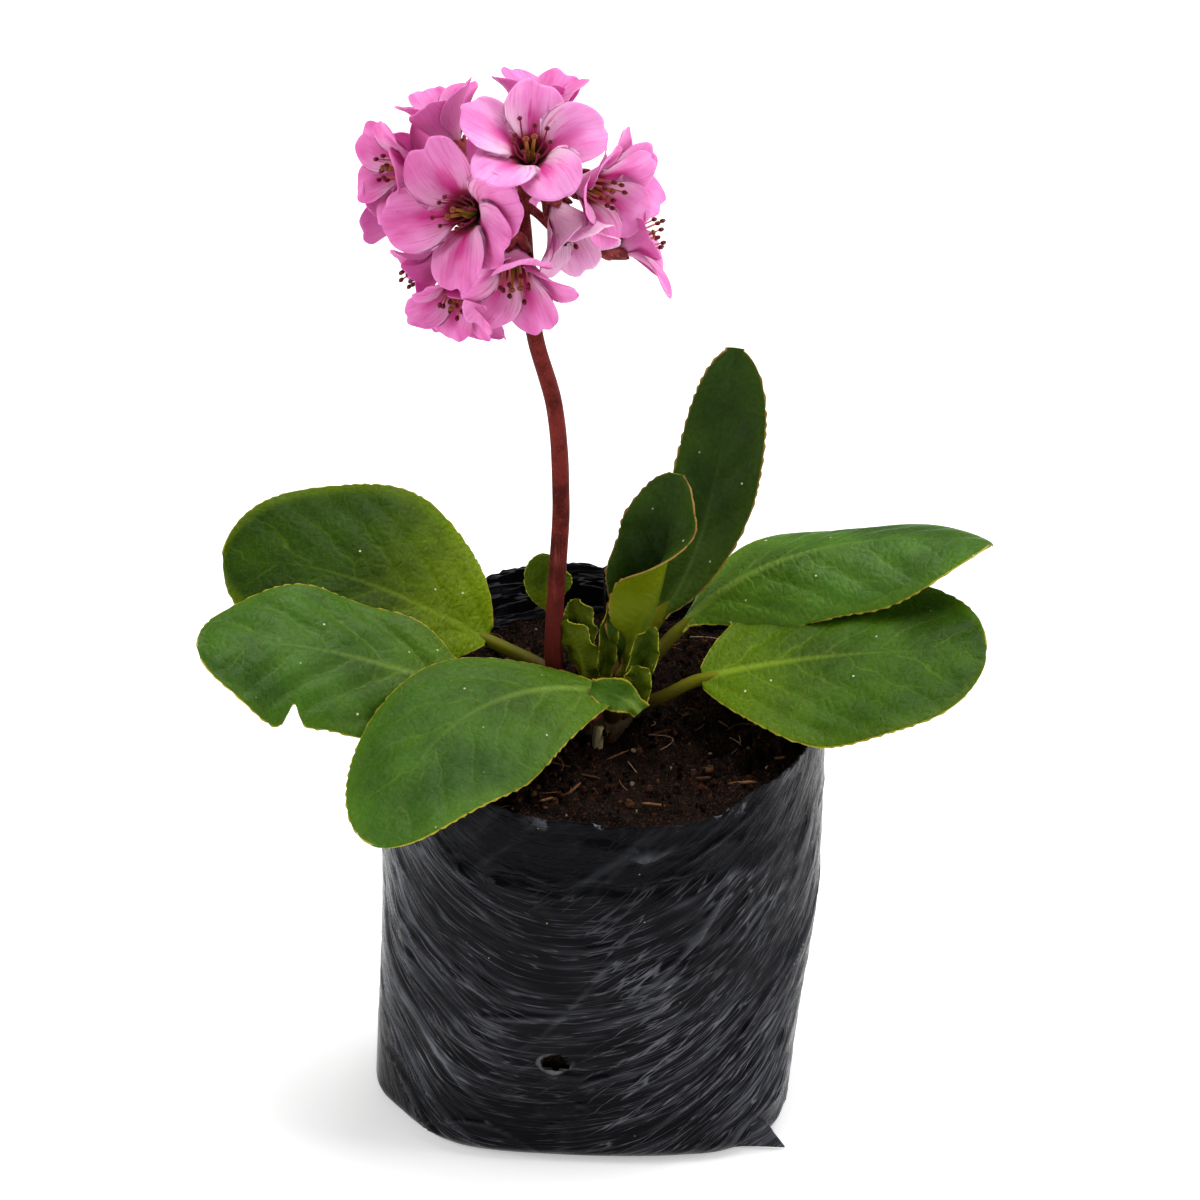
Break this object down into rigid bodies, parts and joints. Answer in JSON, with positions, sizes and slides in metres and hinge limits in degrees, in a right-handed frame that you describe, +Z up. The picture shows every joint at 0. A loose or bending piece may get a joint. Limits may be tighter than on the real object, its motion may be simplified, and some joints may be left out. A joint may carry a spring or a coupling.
{
  "type": "potted flowering plant",
  "caption": "Young bergenia in flower: a rosette of broad leathery leaves and one red stem with a round head of pink bells, in a black film grow bag full of soil.",
  "frame": {"origin": "middle of the bag's flat base, on the ground", "axes": "+Z up; -Y is the side seen in the picture; +X is the viewer's right"},
  "size_m": [0.1593, 0.0931, 0.2207],
  "materials": {
    "film": "thin black polythene film, creased, half glossy",
    "earth": "dark moist potting soil with bark, fibres and white grains",
    "rootstock": "leaf bases and short rootstock, olive brown",
    "pale_root": "snapped pale root",
    "foliage": "leathery green blade, satin, with pale sunken veins",
    "young_foliage": "young yellow-green leaf with a reddish toothed edge",
    "red_stem": "dark red fleshy stem",
    "petal": "thin pink petal, darker towards the throat",
    "stamen": "dark red filaments with brown-purple anthers"
  },
  "bodies": {
    "root": {"grow_bag": "film", "soil": "earth", "crown": "rootstock", "root_stub": "pale_root", "flower_stem": "red_stem", "leaf_back_left": "foliage", "leaf_left": "foliage", "leaf_front_left": "foliage", "leaf_right": "foliage", "leaf_back_right": "foliage", "leaf_tall": "foliage", "leaf_inner": "foliage", "leaf_small_behind": "young_foliage", "leaf_small_left": "young_foliage", "leaf_small_middle": "young_foliage", "leaf_small_right": "young_foliage", "leaf_small_front": "young_foliage", "corolla_top_front": "petal", "stamens_top_front": "stamen", "corolla_left_front": "petal", "stamens_left_front": "stamen", "corolla_right_front": "petal", "stamens_right_front": "stamen", "corolla_middle_bell": "petal", "stamens_middle_bell": "stamen", "corolla_low_front": "petal", "stamens_low_front": "stamen", "corolla_low_left": "petal", "stamens_low_left": "stamen", "corolla_far_right": "petal", "stamens_far_right": "stamen", "corolla_right_back": "petal", "stamens_right_back": "stamen", "corolla_left": "petal", "stamens_left": "stamen", "corolla_left_low": "petal", "stamens_left_low": "stamen", "corolla_left_under": "petal", "stamens_left_under": "stamen", "corolla_under": "petal", "stamens_under": "stamen", "corolla_top_left": "petal", "stamens_top_left": "stamen", "corolla_top_back": "petal", "stamens_top_back": "stamen", "corolla_back": "petal", "stamens_back": "stamen", "corolla_back_left": "petal", "stamens_back_left": "stamen"}
  },
  "joints": []
}
